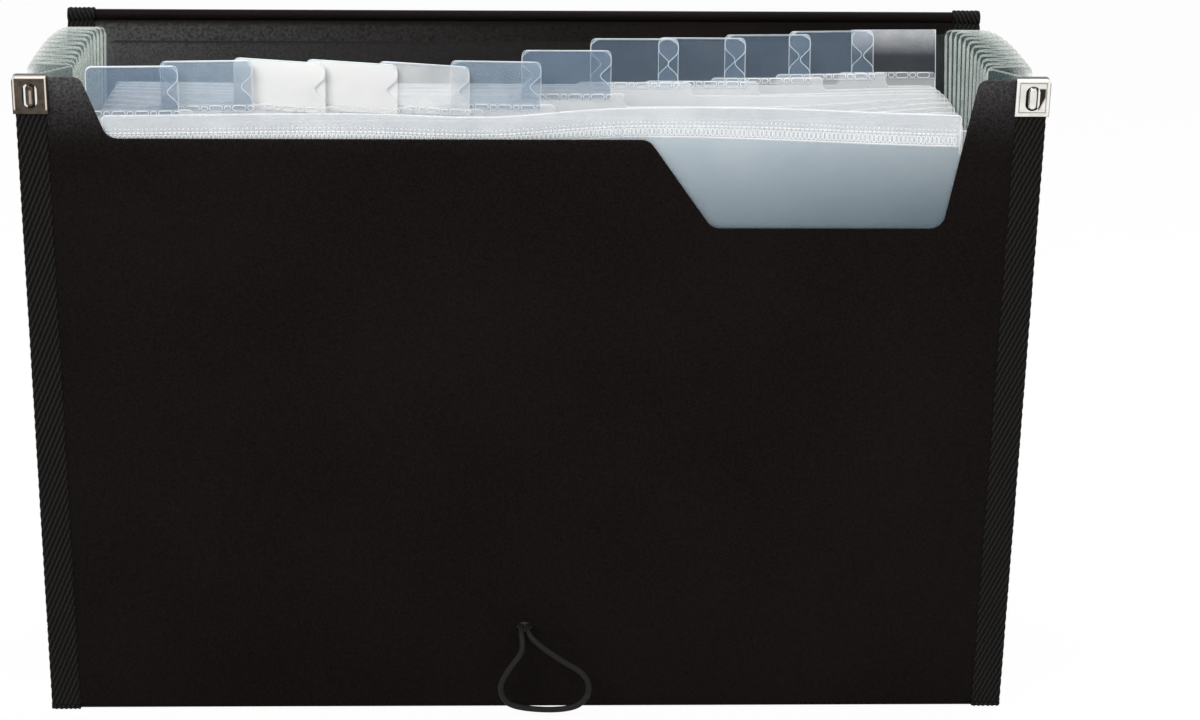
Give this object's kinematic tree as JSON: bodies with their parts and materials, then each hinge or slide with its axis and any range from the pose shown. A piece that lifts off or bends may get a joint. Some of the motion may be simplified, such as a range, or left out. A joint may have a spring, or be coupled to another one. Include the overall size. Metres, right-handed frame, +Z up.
{
  "type": "accordion file folder",
  "caption": "Black plastic expanding file standing open: fan of clear dividers with stepped label tabs, pleated side gussets, cut-away front, taped edges, elastic loop and flap.",
  "frame": {"origin": "on the standing surface, under the middle of the open folder's bounding box", "axes": "+X along the width, +Y from the front to the back, +Z up"},
  "size_m": [0.3312, 0.2166, 0.2363],
  "materials": {
    "cover_black": "black polypropylene sheet with a fine sand grain",
    "liner_black": "black grained liner sheet",
    "binding_twill": "black woven twill tape",
    "clip_nickel": "bright nickel plate",
    "clear_sheet": "translucent frosted polypropylene",
    "clear_tab": "clear glossy film",
    "clear_gusset": "translucent greenish film",
    "button_black": "black moulded plastic",
    "elastic_black": "black covered elastic cord"
  },
  "bodies": {
    "base": {"base_panel": "cover_black", "base_binding": "binding_twill", "pocket_floor": "clear_gusset"},
    "front": {"front_panel": "cover_black", "front_binding_left": "binding_twill", "front_binding_right": "binding_twill", "front_corner_clips": "clip_nickel", "front_sheet": "clear_sheet", "loop_anchor": "button_black", "elastic_loop": "elastic_black"},
    "back": {"back_panel": "cover_black", "back_binding_left": "binding_twill", "back_binding_right": "binding_twill", "back_liner": "liner_black", "gusset_13": "clear_gusset"},
    "spine": {"flap_spine": "cover_black", "flap_spine_binding": "binding_twill"},
    "flap": {"flap_panel": "cover_black", "flap_binding_left": "binding_twill", "flap_binding_right": "binding_twill", "flap_corner_clips": "clip_nickel", "flap_button": "button_black", "button_washer": "clip_nickel"},
    "leaf_01": {"divider_01": "clear_sheet", "tab_01": "clear_tab", "gusset_01": "clear_gusset"},
    "leaf_02": {"divider_02": "clear_sheet", "tab_02": "clear_tab", "gusset_02": "clear_gusset"},
    "leaf_03": {"divider_03": "clear_sheet", "tab_03": "clear_tab", "gusset_03": "clear_gusset"},
    "leaf_04": {"divider_04": "clear_sheet", "tab_04": "clear_tab", "gusset_04": "clear_gusset"},
    "leaf_05": {"divider_05": "clear_sheet", "tab_05": "clear_tab", "gusset_05": "clear_gusset"},
    "leaf_06": {"divider_06": "clear_sheet", "tab_06": "clear_tab", "gusset_06": "clear_gusset"},
    "leaf_07": {"divider_07": "clear_sheet", "tab_07": "clear_tab", "gusset_07": "clear_gusset"},
    "leaf_08": {"divider_08": "clear_sheet", "tab_08": "clear_tab", "gusset_08": "clear_gusset"},
    "leaf_09": {"divider_09": "clear_sheet", "tab_09": "clear_tab", "gusset_09": "clear_gusset"},
    "leaf_10": {"divider_10": "clear_sheet", "tab_10": "clear_tab", "gusset_10": "clear_gusset"},
    "leaf_11": {"divider_11": "clear_sheet", "tab_11": "clear_tab", "gusset_11": "clear_gusset"},
    "leaf_12": {"divider_12": "clear_sheet", "tab_12": "clear_tab", "gusset_12": "clear_gusset"}
  },
  "joints": [
    {"name": "flap_spine_fold", "type": "hinge", "parent": "back", "child": "spine", "pos_m": [0, 0.05191, 0.23359], "axis": [1, 0, 0], "range_deg": [0, 237]},
    {"name": "flap_crease_fold", "type": "hinge", "parent": "spine", "child": "flap", "pos_m": [0, 0.06696, 0.19224], "axis": [1, 0, 0], "range_deg": [0, 98]},
    {"name": "front_fold", "type": "hinge", "parent": "base", "child": "front", "pos_m": [0, -0.03774, 0.0012], "axis": [1, 0, 0], "range_deg": [-17, 0]},
    {"name": "back_fold", "type": "hinge", "parent": "base", "child": "back", "pos_m": [0, -0.00174, 0.0012], "axis": [1, 0, 0], "range_deg": [0, 13], "deforming": ["gusset_13"]},
    {"name": "leaf_01_fold", "type": "hinge", "parent": "base", "child": "leaf_01", "pos_m": [0, -0.03434, 0.0055], "axis": [1, 0, 0], "range_deg": [-12.3, 0], "deforming": ["gusset_01"]},
    {"name": "leaf_02_fold", "type": "hinge", "parent": "base", "child": "leaf_02", "pos_m": [0, -0.03171, 0.0055], "axis": [1, 0, 0], "range_deg": [-11.44, 0], "deforming": ["gusset_02"]},
    {"name": "leaf_03_fold", "type": "hinge", "parent": "base", "child": "leaf_03", "pos_m": [0, -0.02907, 0.0055], "axis": [1, 0, 0], "range_deg": [-10.4, 0], "deforming": ["gusset_03"]},
    {"name": "leaf_04_fold", "type": "hinge", "parent": "base", "child": "leaf_04", "pos_m": [0, -0.02643, 0.0055], "axis": [1, 0, 0], "range_deg": [-9.2, 0], "deforming": ["gusset_04"]},
    {"name": "leaf_05_fold", "type": "hinge", "parent": "base", "child": "leaf_05", "pos_m": [0, -0.0238, 0.0055], "axis": [1, 0, 0], "range_deg": [-7.82, 0], "deforming": ["gusset_05"]},
    {"name": "leaf_06_fold", "type": "hinge", "parent": "base", "child": "leaf_06", "pos_m": [0, -0.02116, 0.0055], "axis": [1, 0, 0], "range_deg": [-6.27, 0], "deforming": ["gusset_06"]},
    {"name": "leaf_07_fold", "type": "hinge", "parent": "base", "child": "leaf_07", "pos_m": [0, -0.01852, 0.0055], "axis": [1, 0, 0], "range_deg": [-4.55, 0], "deforming": ["gusset_07"]},
    {"name": "leaf_08_fold", "type": "hinge", "parent": "base", "child": "leaf_08", "pos_m": [0, -0.01589, 0.0055], "axis": [1, 0, 0], "range_deg": [-2.66, 0], "deforming": ["gusset_08"]},
    {"name": "leaf_09_fold", "type": "hinge", "parent": "base", "child": "leaf_09", "pos_m": [0, -0.01325, 0.0055], "axis": [1, 0, 0], "range_deg": [-0.5981, 0], "deforming": ["gusset_09"]},
    {"name": "leaf_10_fold", "type": "hinge", "parent": "base", "child": "leaf_10", "pos_m": [0, -0.01061, 0.0055], "axis": [1, 0, 0], "range_deg": [0, 1.64], "deforming": ["gusset_10"]},
    {"name": "leaf_11_fold", "type": "hinge", "parent": "base", "child": "leaf_11", "pos_m": [0, -0.00798, 0.0055], "axis": [1, 0, 0], "range_deg": [0, 4.04], "deforming": ["gusset_11"]},
    {"name": "leaf_12_fold", "type": "hinge", "parent": "base", "child": "leaf_12", "pos_m": [0, -0.00534, 0.0055], "axis": [1, 0, 0], "range_deg": [0, 6.62], "deforming": ["gusset_12"]}
  ],
  "couplings": [
    {"joint": "flap_crease_fold", "follows": "flap_spine_fold", "ratio": 0.4135},
    {"joint": "front_fold", "follows": "flap_spine_fold", "ratio": -0.07173},
    {"joint": "back_fold", "follows": "flap_spine_fold", "ratio": 0.054852},
    {"joint": "leaf_01_fold", "follows": "flap_spine_fold", "ratio": -0.051909},
    {"joint": "leaf_02_fold", "follows": "flap_spine_fold", "ratio": -0.048262},
    {"joint": "leaf_03_fold", "follows": "flap_spine_fold", "ratio": -0.043893},
    {"joint": "leaf_04_fold", "follows": "flap_spine_fold", "ratio": -0.038802},
    {"joint": "leaf_05_fold", "follows": "flap_spine_fold", "ratio": -0.032989},
    {"joint": "leaf_06_fold", "follows": "flap_spine_fold", "ratio": -0.026454},
    {"joint": "leaf_07_fold", "follows": "flap_spine_fold", "ratio": -0.019198},
    {"joint": "leaf_08_fold", "follows": "flap_spine_fold", "ratio": -0.011219},
    {"joint": "leaf_09_fold", "follows": "flap_spine_fold", "ratio": -0.0025194},
    {"joint": "leaf_10_fold", "follows": "flap_spine_fold", "ratio": 0.0069025},
    {"joint": "leaf_11_fold", "follows": "flap_spine_fold", "ratio": 0.017046},
    {"joint": "leaf_12_fold", "follows": "flap_spine_fold", "ratio": 0.027912}
  ]
}
